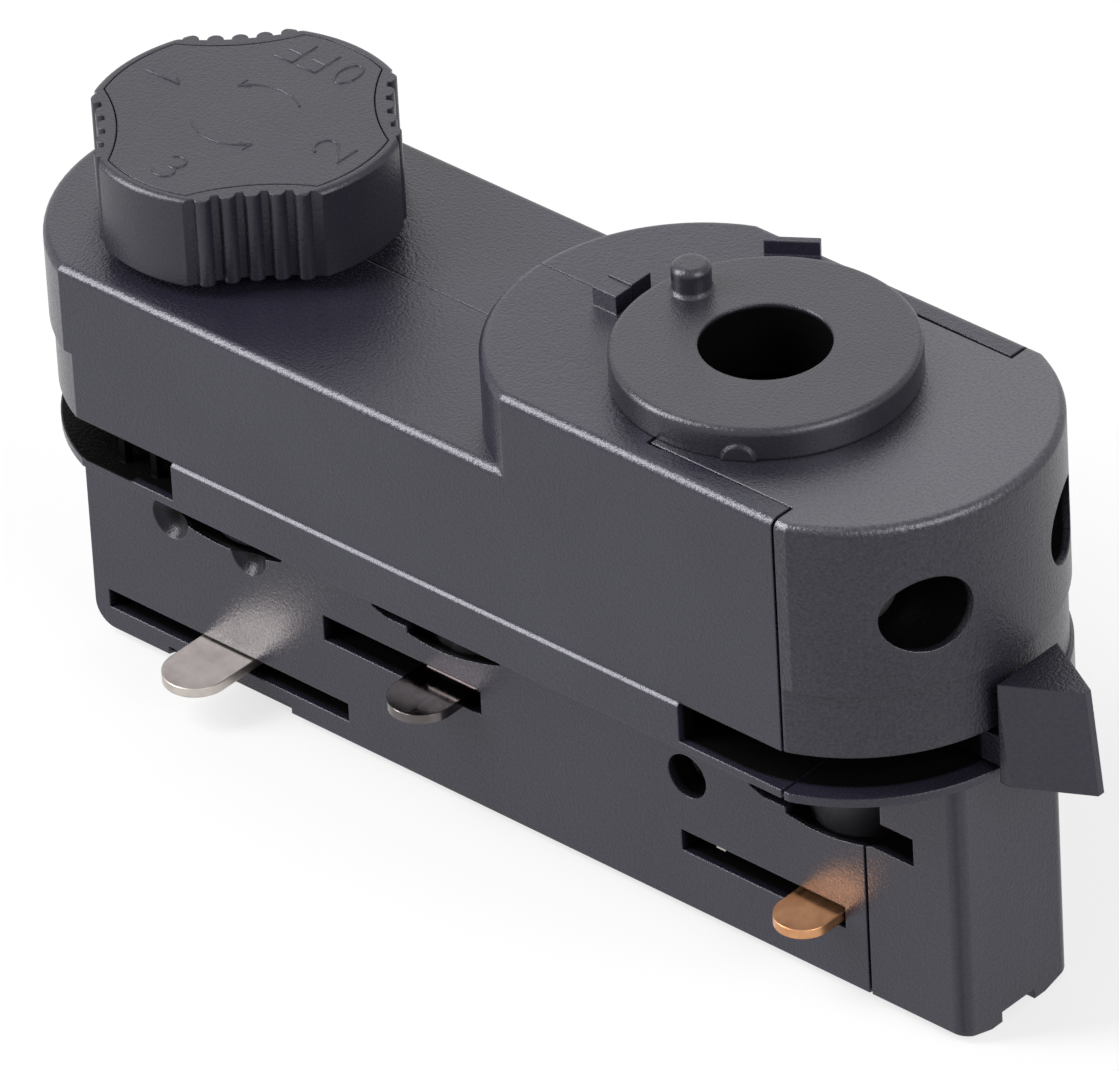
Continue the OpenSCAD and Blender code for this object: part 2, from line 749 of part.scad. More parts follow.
// What is cut from both shells after their inner blocks are added
module shell_cuts(side) {
    top_bores();
    x_post(cap_screw_r + fit_gap, cap_x - cap_screw_l - tip_gap, cap_x + over, cap_hole_y * side, cap_hole_z);
    box([-tongue_back - cap_gap, -tongue_w / 2 - tongue_gap, top_z - top_t],
        [far, tongue_w / 2 + run_gap, top_z + over]);
    y_post(screw_r + fit_gap, -far / 2, lower_w / 2 - screw_wall, -screw_back, base_z + screw_up);
}

// One shell of the housing
module shell(side) {
    difference() {
        union() {
            intersection() {
                housing_blank();
                shell_side(side);
            }
            cap_screw_block(side);
            terminal_shelf(side);
            children();
        }
        shell_cuts(side);
    }
}

module near_shell() {
    color(plastic) {
        difference() {
            shell(-1) {
                stop_block(stop_h, split_y - stop_near, split_y - stop_seam / 2);
                sills();
            }
            scoops();
            y_post(screw_hole_r, -far / 2, near_y + screw_hole_d, -screw_back, base_z + screw_up);
            box([lever_x - lever_gap_back, -far / 2, flange_z], [far, 0, upper_z]);
            box([-far, -far / 2, flange_z], [knob_x + left_gap_ahead, far / 2, upper_z]);
            box([knob_x - base_relief_l / 2, -far / 2, keel_z],
                [knob_x + base_relief_l / 2, near_y + base_relief_d, base_z + base_relief_h]);
            box([-tongue_back - cap_gap, -tongue_w / 2 - run_gap, top_z - top_t],
                [-tongue_back - cap_gap + tongue_notch, 0, top_z + over]);
        }
        gap_ribs();
    }
}

module far_shell() {
    color(plastic) shell(1) {
        stop_block(stop_h + stop_lift, split_y + stop_seam / 2, split_y + stop_far);
        far_stop();
        spring_posts();
    }
}

// Rim of the band behind the lever that it rests against when locked
module lever_stop() {
    difference() {
        band_body();
        upper_cavity();
        box([-far, -far, -far], [far, arm_w / 2 + run_gap, far]);
    }
}

module end_cap() {
    x0 = cap_x + cap_gap;
    color(plastic) difference() {
        intersection() {
            upper_body();
            union() {
                box([x0, -far, upper_z + run_gap / 2], [far, far, far]);
                box([-tongue_back, -tongue_w / 2, top_z - top_t], [x0 + over, tongue_w / 2, far]);
            }
        }
        difference() {
            upper_cavity();
            for (s = [-1, 1]) x_post(cap_hole_r + cap_hole_wall, x0, far, s * cap_hole_y, cap_hole_z);
        }
        for (s = [-1, 1]) {
            x_post(cap_hole_r, x0 + cap_seat_t, far, s * cap_hole_y, cap_hole_z);
            x_post(cap_screw_r + run_gap, x0 - over, x0 + cap_seat_t + over, s * cap_hole_y, cap_hole_z);
        }
        end_relief(lever_x, end_r, 1);
        top_bores();
    }
}

module end_foot() {
    x0 = cap_x + cap_gap;
    window_z = lower_z - window_drop;
    color(plastic) difference() {
        intersection() {
            union() {
                difference() {
                    band_body();
                    box([-far, -far, flange_z], [far, far, far]);
                }
                lever_stop();
                lower_block();
            }
            box([x0, -far, -far], [far, far, far]);
        }
        rotor_chamber(lever_x, dish_right);
        box([x0 - over, -far, window_z], [x0 + window_l, -bore_hub_r / 2, window_z + window_h]);
        box([x0 - over, -foot_slot_w / 2, keel_z - over], [far, foot_slot_w / 2, keel_z + foot_slot_h]);
    }
}

module cap_screws() {
    x0 = cap_x + cap_gap + cap_seat_t;
    color(steel) for (s = [-1, 1]) difference() {
        union() {
            x_post(cap_head_r, x0, x0 + cap_head_t, s * cap_hole_y, cap_hole_z);
            x_post(cap_screw_r, cap_x - cap_screw_l, x0 + over, s * cap_hole_y, cap_hole_z);
        }
        translate([x0 + cap_head_t, s * cap_hole_y, cap_hole_z]) rotate([0, 90, 0])
            drive(cap_head_r, cap_head_t);
    }
}

module shell_screw() {
    r = screw_hole_r - run_gap;
    y1 = near_y + screw_hole_d;
    z = base_z + screw_up;
    color(steel) difference() {
        union() {
            y_post(r, y1 - screw_head_t, y1, -screw_back, z);
            y_post(screw_r, y1 - root, lower_w / 2 - screw_wall - tip_gap, -screw_back, z);
        }
        translate([-screw_back, y1 - screw_head_t, z]) rotate([90, 0, 0]) drive(r, screw_head_t);
    }
}

module terminal_block() {
    color(dark_plastic) difference() {
        box([block_x0, -block_w / 2, block_z0 + fit_gap], [block_x1, block_w / 2, block_z0 + block_h]);
        for (y = terminal_y) {
            post(block_x, terminal_r + fit_gap, block_z0 + terminal_wall, block_z0 + block_h + over, y);
            x_post(wire_r, block_x0 + terminal_wall, block_x1 + over, y, block_z0 + block_h / 2);
        }
    }
}

module terminal_screws() {
    z0 = block_z0 + block_h / 2 + wire_r + head_gap;
    z1 = block_z0 + block_h - head_gap;
    color(steel) for (y = terminal_y) difference() {
        post(block_x, terminal_r, z0, z1, y);
        translate([block_x, y, z1]) drive(terminal_r, z1 - z0, false);
    }
}

module phase_strip() {
    y1 = -ring_r - run_gap;
    x1 = block_x0 + strip_w;
    color(copper) {
        box([knob_x - shaft_r, y1 - strip_t, ring_z0], [x1, y1, ring_z1]);
        box([x1 - strip_w, y1 - strip_t, ring_z0], [x1, y1, block_z0]);
    }
}

// Strip that bears on the end of a rotor's contact stem and runs up to the terminal block
module stem_strip(x, x_up) {
    z0 = drum_z1 + run_gap * 2;
    s = x_up > x ? 1 : -1;
    x0 = min(x - s * strip_w / 2, x_up);
    x1 = max(x - s * strip_w / 2, x_up);
    color(copper) {
        box([x0, -strip_w / 2, z0], [x1, strip_w / 2, z0 + strip_t]);
        box([x_up - strip_t / 2, -strip_w / 2, z0], [x_up + strip_t / 2, strip_w / 2, block_z0]);
    }
}

module neutral_strip() {
    stem_strip(mid_x, block_x0 + strip_w / 2);
}

module earth_strip() {
    stem_strip(lever_x, block_x1 - strip_w / 2);
}

module detent_spring() {
    color(steel)
        box([knob_x - spring_half, spring_y, cam_z0], [knob_x + spring_half, spring_y + strip_t, cam_z1]);
}

// Radius of the hollows that cut depth into a circle r over a half angle a
function hollow_r(r, depth, a) =
    let (half = r * sin(a), sag = r * cos(a) - (r - depth)) (half * half + sag * sag) / (2 * sag);

// Round outline with four hollows centred between its axes, all offset inwards by g
module lobed(r, depth, a, g = 0) {
    hr = hollow_r(r, depth, a);
    difference() {
        circle(r - g);
        for (k = [0:3]) rotate(45 + 90 * k) translate([r - depth + hr, 0]) circle(hr + g);
    }
}

// Ridges along one hollow of the knob
module grip_row() {
    hr = hollow_r(knob_r, grip_d, grip_a);
    for (i = [0:grip_ridges - 1]) {
        y = (i - (grip_ridges - 1) / 2) * ridge_pitch;
        x = knob_r - grip_d + hr - sqrt(hr * hr - y * y);
        translate([x, y]) circle(ridge_r);
    }
}

module selector_knob() {
    color(plastic) difference() {
        intersection() {
            translate([knob_x, 0, knob_z0]) linear_extrude(knob_h) {
                lobed(knob_r, grip_d, grip_a);
                for (k = [0:3]) rotate(45 + 90 * k) grip_row();
            }
            translate([knob_x, 0, 0]) rotate_extrude()
                half_profile(knob_r + fit_gap / 4, knob_z0 - over, knob_z1, knob_edge_r);
        }
        translate([knob_x, 0, knob_z1 - face_t - face_gap]) linear_extrude(face_t + over)
            lobed(knob_r - face_rim, face_d, grip_a);
        difference() {
            post(knob_x, knob_r - grip_d - knob_wall, knob_z0 - over, web_z);
            post(knob_x, boss_r + knob_wall, knob_z0 - 2 * over, knob_z1);
        }
        post(knob_x, shaft_r + fit_gap, knob_z0 - over, web_z);
        post(knob_x, knob_screw_r + run_gap, knob_z0, knob_z1);
        post(knob_x, knob_head_r + run_gap, knob_head_z - knob_head_t, knob_z1);
    }
}

module knob_face() {
    color(plastic) translate([knob_x, 0, knob_z1 - face_t]) linear_extrude(face_t)
        lobed(knob_r - face_rim, face_d, grip_a, face_gap);
}

module knob_screw() {
    color(steel) difference() {
        union() {
            post(knob_x, knob_head_r, knob_head_z - knob_head_t, knob_head_z);
            post(knob_x, knob_screw_r, knob_head_z - knob_screw_l, knob_head_z - knob_head_t / 2);
        }
        translate([knob_x, 0, knob_head_z]) drive(knob_head_r, knob_head_t, false);
    }
}

module selector_shaft() {
    top = web_z - run_gap;
    hub_z1 = phase_z + blade_t + phase_hub_up;
    color(dark_plastic) difference() {
        union() {
            post(knob_x, shaft_r, floor_z + run_gap / 2, top);
            post(knob_x, boss_r, ceiling_z, knob_z0 - fit_gap);
            post(knob_x, boss_r + collar_out, ceiling_z - collar_t, ceiling_z - run_gap / 2);
            intersection() {
                post(knob_x, cam_r, cam_z0, cam_z1);
                box([knob_x - cam_w / 2, -cam_w / 2, cam_z0], [knob_x + cam_w / 2, cam_w / 2, cam_z1]);
            }
            post(knob_x, phase_hub_r, floor_z + run_gap / 2, hub_z1);
            post(knob_x, pivot_r, floor_z - pivot_h, floor_z + over);
        }
        blade_seat(knob_x - phase_w / 2, knob_x + phase_w / 2, phase_w / 2, phase_z, blade_t);
        post(knob_x, knob_screw_r + fit_gap, knob_head_z - knob_screw_l - tip_gap, top + over);
    }
}

module slip_ring() {
    color(copper) difference() {
        post(knob_x, ring_r, ring_z0, ring_z1);
        post(knob_x, shaft_r + fit_gap, ring_z0 - over, ring_z1 + over);
    }
}

// Flat blade with a rounded tip, from inside its hub out towards -Y
module blade(x, w, reach, z) {
    translate([x, 0, z]) linear_extrude(blade_t) {
        translate([-w / 2, -reach + w / 2]) square([w, reach]);
        translate([0, -reach + w / 2]) circle(w / 2);
    }
}

// Seat in a hub for the inner part of a blade or a leaf
module blade_seat(x0, x1, y1, z, t) {
    c = fit_gap;
    box([x0 - c, -far / 2, z - c], [x1 + c, y1 + c, z + t + c]);
}

module phase_blade() {
    color(silver) blade(knob_x, phase_w, phase_reach, phase_z);
}

// Wings of a rotor, a bar with ends that follow a circle
module wings(x) {
    intersection() {
        post(x, wing_r, wing_z1 - wing_h, wing_z1);
        box([x - wing_w / 2, -far / 2, -far], [x + wing_w / 2, far / 2, 0]);
    }
}

// Crank pin of a rotor or of the lever
module crank_pin(x) {
    translate([x + crank_at * cos(crank_a), crank_at * sin(crank_a), drum_z1 - over])
        cylinder(h = link_z1 - drum_z1 + over, r = crank_r);
}

// Sleeve round the selector shaft with its drum and wings
module left_rotor() {
    z0 = pocket_z - sleeve_drop;
    color(dark_plastic) difference() {
        union() {
            post(knob_x, hub_r, z0, drum_z1);
            post(knob_x, drum_r, drum_z0, drum_z1);
            wings(knob_x);
            crank_pin(knob_x);
        }
        post(knob_x, shaft_r + fit_gap, z0 - over, drum_z1 + over);
    }
}

// Rotor hub from its pivot up to a level, with a seat for its blade and its stem
module rotor_hub(x, z1, w, z) {
    difference() {
        union() {
            post(x, hub_r, floor_z + run_gap / 2, z1);
            post(x, pivot_r, floor_z - pivot_h, floor_z + over);
            wings(x);
            children();
        }
        blade_seat(x - w / 2, x + w / 2, w / 2, z, blade_t);
        post(x, stem_r + fit_gap, z, z1 + over);
    }
}

module mid_rotor() {
    color(dark_plastic) difference() {
        rotor_hub(mid_x, drum_z1, neutral_w, neutral_z) {
            post(mid_x, drum_r, drum_z0, drum_z1);
            crank_pin(mid_x);
        }
        blade_seat(mid_x - stem_r, mid_x + leaf_x1, 0, leaf_z, leaf_t);
    }
}

// Blade with a stem along the rotor axis up to its contact strip
module stem_blade(x, w, reach, z) {
    blade(x, w, reach, z);
    post(x, stem_r, z, drum_z1 + run_gap);
}

module neutral_blade() {
    color(silver) {
        stem_blade(mid_x, neutral_w, neutral_reach, neutral_z);
        box([mid_x - stem_r, near_y + leaf_in, leaf_z], [mid_x + leaf_x1, 0, leaf_z + leaf_t]);
    }
}

// Two flats that key the lever to its rotor, with clearance c
module drive_flats(c) {
    half = hub_r * flat_share + c;
    intersection() {
        post(lever_x, hub_r + c, drum_z0 - over, drum_z1 + over);
        box([lever_x - far / 2, -half, -far], [lever_x + far / 2, half, 0]);
    }
}

module lever_rotor() {
    color(dark_plastic) difference() {
        rotor_hub(lever_x, drum_z0, earth_w, earth_z) {
            intersection() {
                drive_flats(0);
                post(lever_x, hub_r + over, drum_z0 - over, drum_z1);
            }
        }
        post(lever_x, stem_r + fit_gap, drum_z0 - over, drum_z1 + over);
    }
}

module earth_blade() {
    color(copper) stem_blade(lever_x, earth_w, earth_reach, earth_z);
}

// Wedge-shaped tab that leans outwards to its foot
module lever_tab() {
    z0 = lower_z + tab_up;
    z1 = z0 + tab_h;
    intersection() {
        translate([tab_x, 0, z1]) rotate([0, -atan(tab_flare / tab_h), 0])
            translate([0, 0, -2 * tab_h]) linear_extrude(3 * tab_h) polygon([
                [-tab_l, -tab_w / 2], [0, -tab_w / 2], [tab_l, -tab_tip / 2],
                [tab_l, tab_tip / 2], [0, tab_w / 2], [-tab_l, tab_w / 2]
            ]);
        box([tab_x, -far / 2, z0], [far, far / 2, z1]);
    }
}

module lock_lever() {
    color(plastic) difference() {
        union() {
            post(lever_x, drum_r, drum_z0, drum_z1);
            box([lever_x, -arm_w / 2, drum_z0], [tab_x + over, arm_w / 2, drum_z1]);
            crank_pin(lever_x);
            lever_tab();
        }
        drive_flats(fit_gap);
    }
}

// Bar that joins the three crank pins
module drive_link() {
    dx = crank_at * cos(crank_a);
    dy = crank_at * sin(crank_a);
    color(steel) difference() {
        union() {
            box([knob_x + dx, dy - link_w / 2, link_z0], [lever_x + dx, dy + link_w / 2, link_z1]);
            for (x = [knob_x, mid_x, lever_x]) post(x + dx, link_eye_r, link_z0, link_z1, dy);
        }
        post(lever_x + dx, crank_r + fit_gap, link_z0 - over, link_z1 + over, dy);
        for (x = [knob_x, mid_x]) post(x + dx, crank_r + run_gap, link_z0 - over, link_z1 + over, dy);
    }
}

module lamp_disc() {
    color(plastic) difference() {
        union() {
            rotate_extrude() half_profile(disc_r, top_z + fit_gap, 0, disc_edge_r);
            post(0, neck_r, neck_z, -over);
            rotate(index_a) translate([disc_r - index_in, 0, 0]) rotate_extrude() {
                half_profile(index_r, -over, index_h, index_edge_r);
                half_profile(index_r + index_foot, -over, index_foot, index_foot, true);
            }
            rotate(nib_a) intersection() {
                x_post(nib_r, neck_r, disc_r + nib_out, 0, top_z);
                box([0, -far / 2, top_z + fit_gap], [far, far / 2, 0]);
            }
        }
        post(0, bore_r, neck_z - over, over);
        difference() {
            post(0, neck_r + over, clip_z0 - fit_gap, clip_z1 + fit_gap);
            post(0, neck_r - groove_d, clip_z0 - over, clip_z1 + over);
        }
    }
}

module disc_clip() {
    color(steel) difference() {
        post(0, neck_r + clip_out, clip_z0, clip_z1);
        post(0, neck_r - groove_d + fit_gap, clip_z0 - over, clip_z1 + over);
        box([0, -clip_open / 2, clip_z0 - over], [far, clip_open / 2, clip_z1 + over]);
    }
}

near_shell();
far_shell();
end_cap();
end_foot();
cap_screws();
shell_screw();
terminal_block();
terminal_screws();
phase_strip();
neutral_strip();
earth_strip();
detent_spring();
selector_knob();
knob_face();
knob_screw();
selector_shaft();
slip_ring();
phase_blade();
left_rotor();
mid_rotor();
neutral_blade();
lever_rotor();
lock_lever();
earth_blade();
drive_link();
lamp_disc();
disc_clip();
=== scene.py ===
import math

import bpy
from mathutils import Matrix, Vector


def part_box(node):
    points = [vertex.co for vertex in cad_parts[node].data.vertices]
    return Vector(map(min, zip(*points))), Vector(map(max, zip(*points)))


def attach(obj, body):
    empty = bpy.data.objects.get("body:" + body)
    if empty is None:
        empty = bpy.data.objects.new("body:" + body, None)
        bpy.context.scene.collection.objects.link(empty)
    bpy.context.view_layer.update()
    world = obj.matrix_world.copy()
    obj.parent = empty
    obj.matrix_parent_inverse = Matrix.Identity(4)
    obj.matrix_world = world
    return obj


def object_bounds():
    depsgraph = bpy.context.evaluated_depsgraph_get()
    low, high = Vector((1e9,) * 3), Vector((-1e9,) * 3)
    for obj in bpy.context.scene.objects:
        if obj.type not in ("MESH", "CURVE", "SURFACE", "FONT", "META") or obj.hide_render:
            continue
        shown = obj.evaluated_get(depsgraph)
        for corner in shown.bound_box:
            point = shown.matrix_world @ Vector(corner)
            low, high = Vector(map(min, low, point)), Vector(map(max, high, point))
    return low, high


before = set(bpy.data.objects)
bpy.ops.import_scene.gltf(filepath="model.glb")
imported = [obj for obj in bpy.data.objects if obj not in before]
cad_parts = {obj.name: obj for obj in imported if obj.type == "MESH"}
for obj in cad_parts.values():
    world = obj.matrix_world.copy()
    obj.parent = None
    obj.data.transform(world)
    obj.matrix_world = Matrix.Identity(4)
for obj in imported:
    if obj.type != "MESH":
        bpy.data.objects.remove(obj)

cad_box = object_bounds()
MM = 0.001
scene = bpy.context.scene
scene.view_settings.view_transform = "Standard"


# Materials

def new_material(name):
    """A material with an empty tree, its output and one Principled shader."""
    mat = bpy.data.materials.new(name)
    mat.use_nodes = True
    tree = mat.node_tree
    tree.nodes.clear()
    out = tree.nodes.new("ShaderNodeOutputMaterial")
    shader = tree.nodes.new("ShaderNodeBsdfPrincipled")
    tree.links.new(shader.outputs["BSDF"], out.inputs["Surface"])
    return mat, tree, shader


def noise(tree, coords, size_mm, detail, rough=0.5, stretch=(1, 1, 1)):
    """Noise with features of about size_mm, in the object's own coordinates."""
    mapping = tree.nodes.new("ShaderNodeMapping")
    mapping.inputs["Scale"].default_value = stretch
    tree.links.new(coords, mapping.inputs["Vector"])
    node = tree.nodes.new("ShaderNodeTexNoise")
    node.inputs["Scale"].default_value = 1.0 / (size_mm * MM)
    node.inputs["Detail"].default_value = detail
    node.inputs["Roughness"].default_value = rough
    tree.links.new(mapping.outputs["Vector"], node.inputs["Vector"])
    return node.outputs["Fac"]


# Most of a noise's values lie between these two
NOISE_LOW, NOISE_HIGH = 0.3, 0.7


def ramp(tree, value, low, high):
    """Noise turned into a colour between two."""
    node = tree.nodes.new("ShaderNodeValToRGB")
    node.color_ramp.elements[0].position = NOISE_LOW
    node.color_ramp.elements[1].position = NOISE_HIGH
    node.color_ramp.elements[0].color = (*low, 1)
    node.color_ramp.elements[1].color = (*high, 1)
    tree.links.new(value, node.inputs["Fac"])
    return node.outputs["Color"]


def rescale(tree, value, from_low, from_high, low, high):
    """Value between two limits mapped to another range, and held at its ends."""
    node = tree.nodes.new("ShaderNodeMapRange")
    node.inputs["From Min"].default_value = from_low
    node.inputs["From Max"].default_value = from_high
    node.inputs["To Min"].default_value = low
    node.inputs["To Max"].default_value = high
    tree.links.new(value, node.inputs["Value"])
    return node.outputs["Result"]


def spread(tree, value, low, high):
    """Noise mapped to the range low to high."""
    return rescale(tree, value, NOISE_LOW, NOISE_HIGH, low, high)


def bump(tree, height, depth_mm, strength, normal):
    """Bump of a given depth on top of another normal; the strength is a number or a socket."""
    node = tree.nodes.new("ShaderNodeBump")
    node.inputs["Distance"].default_value = depth_mm * MM
    if isinstance(strength, float):
        node.inputs["Strength"].default_value = strength
    else:
        tree.links.new(strength, node.inputs["Strength"])
    tree.links.new(height, node.inputs["Height"])
    tree.links.new(normal, node.inputs["Normal"])
    return node.outputs["Normal"]


def rounded(tree, radius_mm):
    """Normals as if the sharp edges were rounded by that radius."""
    node = tree.nodes.new("ShaderNodeBevel")
    node.samples = 4
    node.inputs["Radius"].default_value = radius_mm * MM
    return node.outputs["Normal"]


def object_coords(tree):
    """The object's own coordinates, which for a CAD node are the row frame's at rest."""
    return tree.nodes.new("ShaderNodeTexCoord").outputs["Object"]


def split(tree, vector):
    """The three parts of a vector."""
    parts = tree.nodes.new("ShaderNodeSeparateXYZ")
    tree.links.new(vector, parts.inputs["Vector"])
    return parts.outputs["X"], parts.outputs["Y"], parts.outputs["Z"]


def calc(tree, operation, first, second=None):
    """Math on sockets or plain numbers."""
    node = tree.nodes.new("ShaderNodeMath")
    node.operation = operation
    for value, socket in zip((first, second), node.inputs):
        if isinstance(value, (int, float)):
            socket.default_value = value
        elif value is not None:
            tree.links.new(value, socket)
    return node.outputs["Value"]


def all_of(tree, values):
    """Product of masks."""
    result = values[0]
    for value in values[1:]:
        result = calc(tree, "MULTIPLY", result, value)
    return result


def between(tree, value, start_mm, end_mm):
    """Mask that rises from 0 at the start to 1 at the end, which may lie on either side."""
    if start_mm < end_mm:
        return rescale(tree, value, start_mm * MM, end_mm * MM, 0.0, 1.0)
    return rescale(tree, value, end_mm * MM, start_mm * MM, 1.0, 0.0)


def length(tree, x, y):
    """Length of a flat vector."""
    join = tree.nodes.new("ShaderNodeCombineXYZ")
    tree.links.new(x, join.inputs["X"])
    tree.links.new(y, join.inputs["Y"])
    node = tree.nodes.new("ShaderNodeVectorMath")
    node.operation = "LENGTH"
    tree.links.new(join.outputs["Vector"], node.inputs[0])
    return node.outputs["Value"]


# Places on the housing, in millimetres in the row frame
KNOB_X, LEVER_X = -64.7, 10.3
ABOVE_FLANGE = ("z", -33.05, -32.95)
NEAR_HALF = ("y", 0.0, -0.5)
INSIDE_WALLS = ("reach", 17.8, 17.4)
# Hollows of the housing, which look black in the photograph, get painted shade: their colour is mixed to
# black and their sheen cut, for the shade that falls inside them.
# Each has its darkness and its edges: what is measured, where the dark starts and where it is full.
# "across" is the distance from the middle plane, and "reach" the distance from the line between the knob's
# and the lever's axes.
HOUSING_PAINTED_SHADE = {
    "narrow_body": (1.0, [("across", 7.42, 6.5), ("z", -61.9, -61.6), ("z", -33.9, -34.1),
                          ("x", -81.9, -81.6), ("x", 27.5, 27.2)]),
    "selector_half": (1.0, [INSIDE_WALLS, ABOVE_FLANGE, ("z", -14.2, -14.6)]),
    "lamp_half": (1.0, [INSIDE_WALLS, ABOVE_FLANGE, ("z", -5.4, -5.8), ("x", -8.0, -7.6)]),
    "screw_holes": (1.0, [("reach", 19.1, 18.7), ("x", 19.0, 19.4), ("z", -17.8, -17.4), ("z", -9.0, -9.4)]),
    "left_gap": (1.0, [("reach", 19.6, 19.3), ("x", KNOB_X, KNOB_X - 0.5), NEAR_HALF, ABOVE_FLANGE,
                       ("z", -28.6, -28.8)]),
    # The scoops get a lighter painted shade, which also dims their highlights
    "scoops": (0.6, [("y", -7.49, -7.42), NEAR_HALF, ("x", -57.0, -57.4), ("x", -76.5, -76.1),
                     ("z", -50.0, -49.6), ("z", -34.0, -34.3)]),
}
# The wall of the lamp disc's bore gets painted shade, black for the shade inside it; here "reach" is the
# distance from the lamp's axis
BORE_PAINTED_SHADE = {"bore": (1.0, [("reach", 6.7, 6.5), ("z", -0.2, -0.5)])}


def inside(tree, coords, hollows, axis_from, axis_to):
    """Painted shade mask: 1 in the hollows and 0 on the outer faces, for a line of axes from one x to
    another.
    """
    x, y, z = split(tree, coords)
    axis = tree.nodes.new("ShaderNodeClamp")
    axis.inputs["Min"].default_value = axis_from * MM
    axis.inputs["Max"].default_value = axis_to * MM
    tree.links.new(x, axis.inputs["Value"])
    reach = length(tree, calc(tree, "SUBTRACT", x, axis.outputs["Result"]), y)
    measures = {"x": x, "y": y, "z": z, "across": calc(tree, "ABSOLUTE", y), "reach": reach}
    result = 0.0
    for darkness, edges in hollows.values():
        masks = [between(tree, measures[name], start, end) for name, start, end in edges]
        result = calc(tree, "MAXIMUM", result, calc(tree, "MULTIPLY", all_of(tree, masks), darkness))
    return result


def housing_painted_shade(tree, coords):
    """Painted shade for the hollows of the shells, the end cap, the foot and the lever's root."""
    return inside(tree, coords, HOUSING_PAINTED_SHADE, KNOB_X, LEVER_X)


def bore_painted_shade(tree, coords):
    """Painted shade for the hollow of the lamp disc."""
    return inside(tree, coords, BORE_PAINTED_SHADE, 0.0, 0.0)


CLOUD_MM = 14.0
# Colour and sheen of the painted shade in the hollows
PAINTED_SHADE_BLACK = (0.002, 0.002, 0.002, 1)
PAINTED_SHADE_SHEEN = 0.04
# A face counts as a side below the first upward part of its normal, and as a top above the second
SIDE_UP, TOP_UP = 0.35, 0.9
COOL_SHEEN = (0.93, 0.92, 1.0, 1)


def plastic(name, dark, light, rough, grain_mm, side_grain, top_grain, edge_mm=0.22, specular=0.5, mottle=0.1,
            painted_top_sheen=1.0, painted_shade_mask=None):
    """Moulded plastic with a spark-eroded grain, softened edges and painted shade that blackens its hollows.

    side_grain and top_grain are the grain's depths in millimetres, mottle is how much the sheen
    varies with the grain, and the gain for tops multiplies the sheen of the tops: a painted sheen that makes
    them look more lit.
    """
    mat, tree, shader = new_material(name)
    coords = object_coords(tree)
    cloud = noise(tree, coords, CLOUD_MM, 3.0)
    grain = noise(tree, coords, grain_mm, 3.0, 0.6)
    soft = rounded(tree, edge_mm)
    up_part = split(tree, soft)[2]
    colour = ramp(tree, cloud, dark, light)
    # The sheen varies with the grain, and on the tops it carries a painted sheen that makes them look more
    # lit
    sheen = calc(tree, "MULTIPLY", spread(tree, grain, specular * (1 - mottle), specular * (1 + mottle)),
                 rescale(tree, up_part, SIDE_UP, TOP_UP, 1.0, painted_top_sheen))
    # Painted shade: in the hollows the colour is mixed to black and the sheen is cut
    if painted_shade_mask is not None:
        painted_shade_amount = painted_shade_mask(tree, coords)
        shade = tree.nodes.new("ShaderNodeMix")
        shade.data_type = "RGBA"
        shade.inputs["B"].default_value = PAINTED_SHADE_BLACK
        tree.links.new(painted_shade_amount, shade.inputs["Factor"])
        tree.links.new(colour, shade.inputs["A"])
        colour = shade.outputs["Result"]
        sheen = calc(tree, "MULTIPLY", sheen, rescale(tree, painted_shade_amount, 0.0, 1.0, 1.0, PAINTED_SHADE_SHEEN))
    depth = max(side_grain, top_grain)
    strength = rescale(tree, up_part, SIDE_UP, TOP_UP, side_grain / depth, top_grain / depth)
    tree.links.new(colour, shader.inputs["Base Color"])
    tree.links.new(sheen, shader.inputs["Specular IOR Level"])
    tree.links.new(spread(tree, grain, rough - 0.05, rough + 0.07), shader.inputs["Roughness"])
    tree.links.new(bump(tree, grain, depth, strength, soft), shader.inputs["Normal"])
    shader.inputs["Specular Tint"].default_value = COOL_SHEEN
    return mat


LINES_MM, LINES_DEEP = 0.5, 0.01
PATCH_MM = 2.2


def metal(name, dark, light, rough, stretch, edge_mm=0.18):
    """Rolled and stamped sheet metal with faint drawing lines and dull patches."""
    mat, tree, shader = new_material(name)
    coords = object_coords(tree)
    lines = noise(tree, coords, LINES_MM, 4.0, 0.6, stretch)
    patch = noise(tree, coords, PATCH_MM, 3.0)
    tree.links.new(ramp(tree, patch, dark, light), shader.inputs["Base Color"])
    tree.links.new(spread(tree, lines, rough - 0.06, rough + 0.08), shader.inputs["Roughness"])
    tree.links.new(bump(tree, lines, LINES_DEEP, 0.6, rounded(tree, edge_mm)), shader.inputs["Normal"])
    shader.inputs["Metallic"].default_value = 1.0
    return mat


side_black = plastic("housing_plastic", (0.009, 0.0085, 0.0150), (0.012, 0.0115, 0.019), rough=0.27,
                     grain_mm=0.34, side_grain=0.046, top_grain=0.075, specular=0.47, mottle=0.12,
                     painted_shade_mask=housing_painted_shade)
# The end cap's tops get a painted sheen, twice their own, so that they look more lit
cap_black = plastic("cap_plastic", (0.0085, 0.008, 0.0125), (0.012, 0.0115, 0.017), rough=0.29,
                    grain_mm=0.32, side_grain=0.120, top_grain=0.050, specular=0.44, mottle=0.28,
                    painted_top_sheen=2.0, painted_shade_mask=housing_painted_shade)
knob_black = plastic("knob_plastic", (0.011, 0.0105, 0.016), (0.015, 0.0145, 0.020), rough=0.28,
                     grain_mm=0.30, side_grain=0.030, top_grain=0.060, specular=0.37, mottle=0.12)
disc_black = plastic("disc_plastic", (0.012, 0.0115, 0.016), (0.016, 0.0155, 0.020), rough=0.24,
                     grain_mm=0.30, side_grain=0.030, top_grain=0.070, edge_mm=0.40, specular=0.43,
                     mottle=0.12, painted_shade_mask=bore_painted_shade)
inner_black = plastic("inner_plastic", (0.006, 0.006, 0.008), (0.010, 0.010, 0.012), rough=0.55,
                      grain_mm=0.40, side_grain=0.010, top_grain=0.010)
